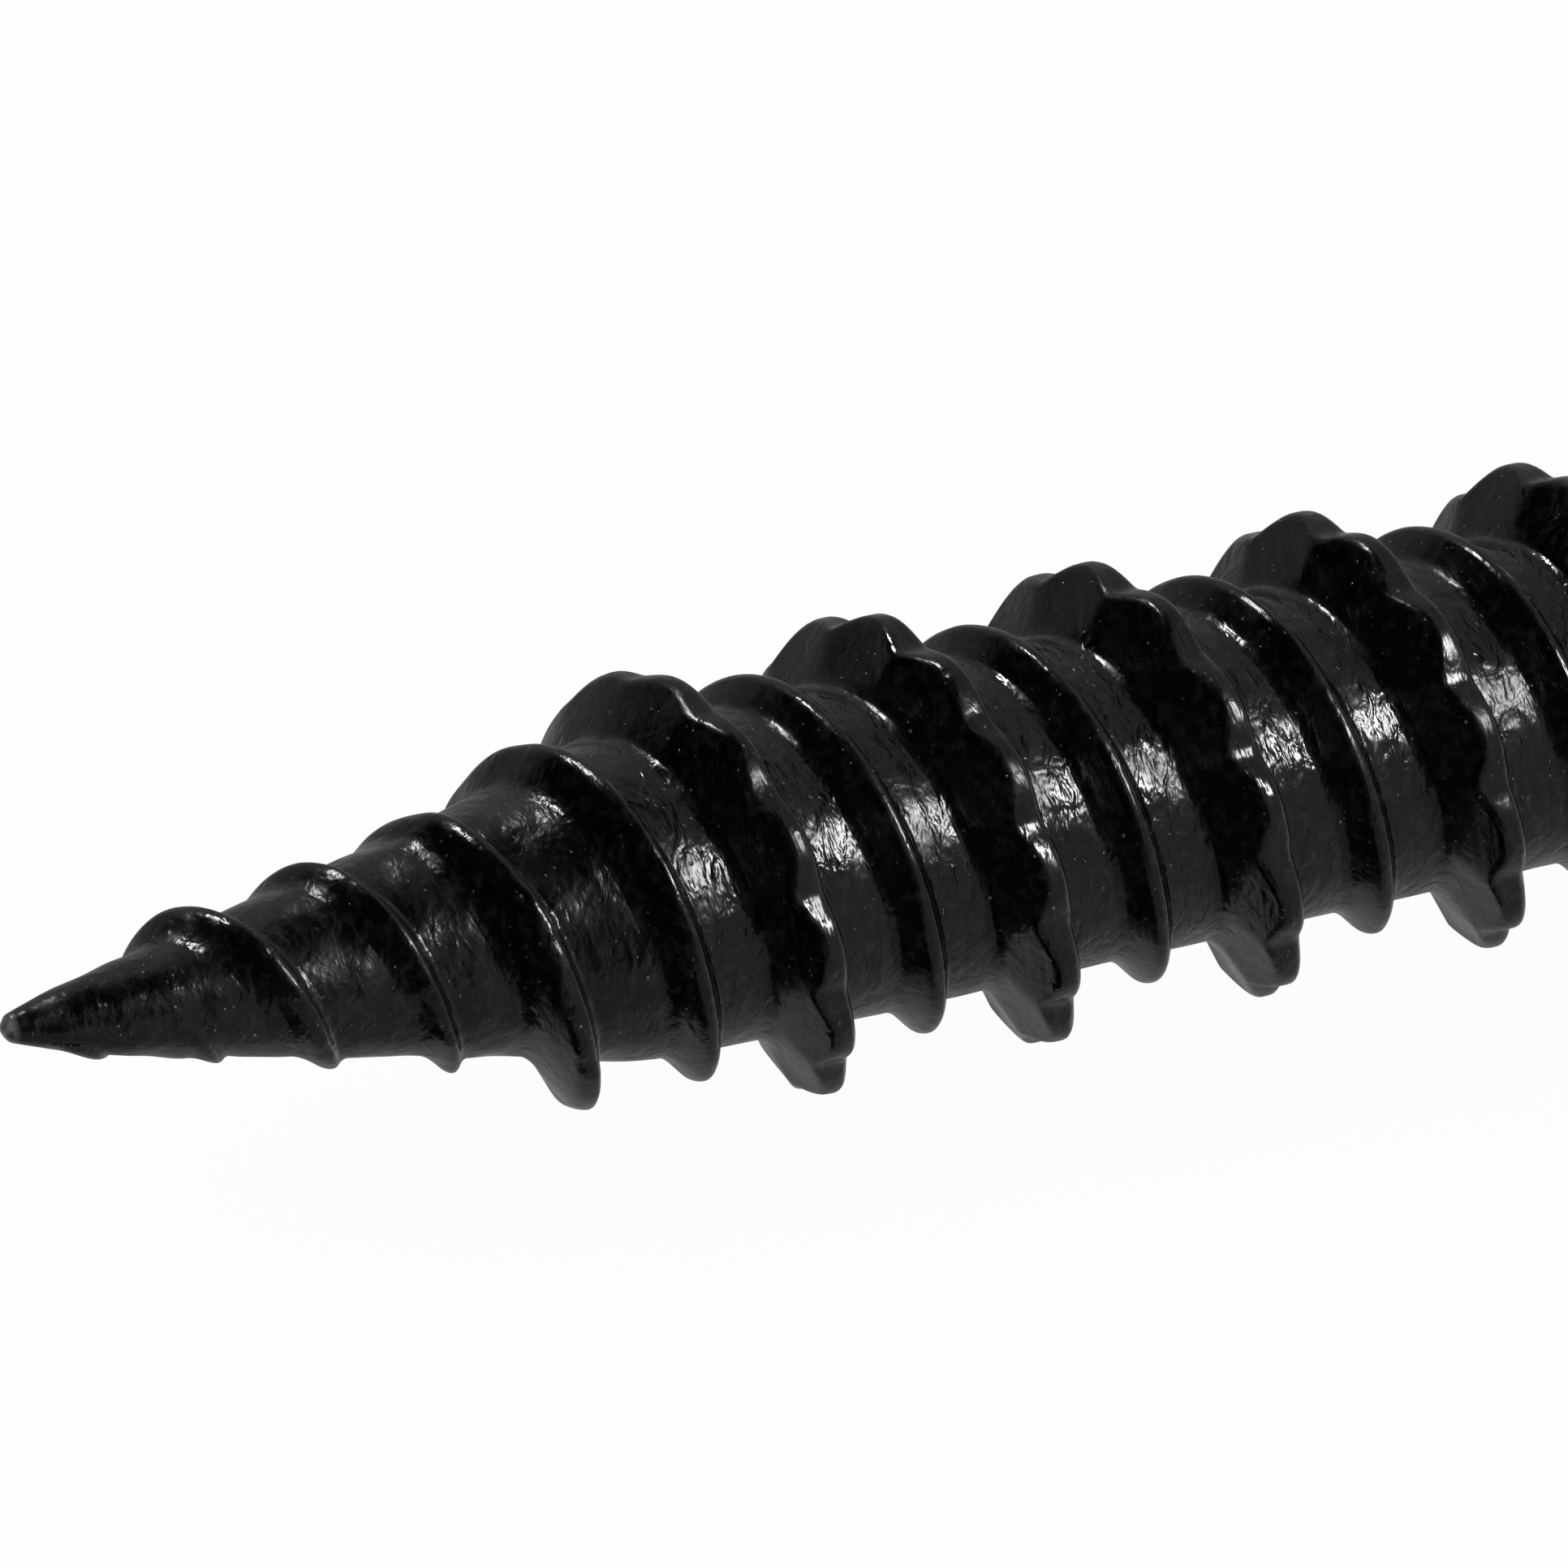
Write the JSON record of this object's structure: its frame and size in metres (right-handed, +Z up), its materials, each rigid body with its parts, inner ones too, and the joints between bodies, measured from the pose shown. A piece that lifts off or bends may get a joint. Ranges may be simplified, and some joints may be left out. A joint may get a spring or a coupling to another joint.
{
  "type": "wood screw",
  "caption": "Black coated countersunk wood screw with a sharp point, a two-start high-low thread, a notched high ridge and a six-lobe recess.",
  "frame": {"origin": "on the screw's axis, half way between the point and the head face", "axes": "+X along the axis from the point to the head, +Z up as the screw lies"},
  "size_m": [0.075, 0.012, 0.012],
  "materials": {
    "black_coating": "thick gloss black coating over steel, slightly lumpy and pitted"
  },
  "bodies": {
    "root": {"point_core": "black_coating", "point_high_thread": "black_coating", "point_low_thread": "black_coating", "thread_core": "black_coating", "high_thread": "black_coating", "low_thread": "black_coating", "shank": "black_coating", "cutter_ridge_1": "black_coating", "cutter_ridge_2": "black_coating", "cutter_ridge_3": "black_coating", "cutter_ridge_4": "black_coating", "neck": "black_coating", "head": "black_coating", "head_rib_1": "black_coating", "head_rib_2": "black_coating", "head_rib_3": "black_coating", "head_rib_4": "black_coating", "head_rib_5": "black_coating", "head_rib_6": "black_coating"}
  },
  "joints": []
}
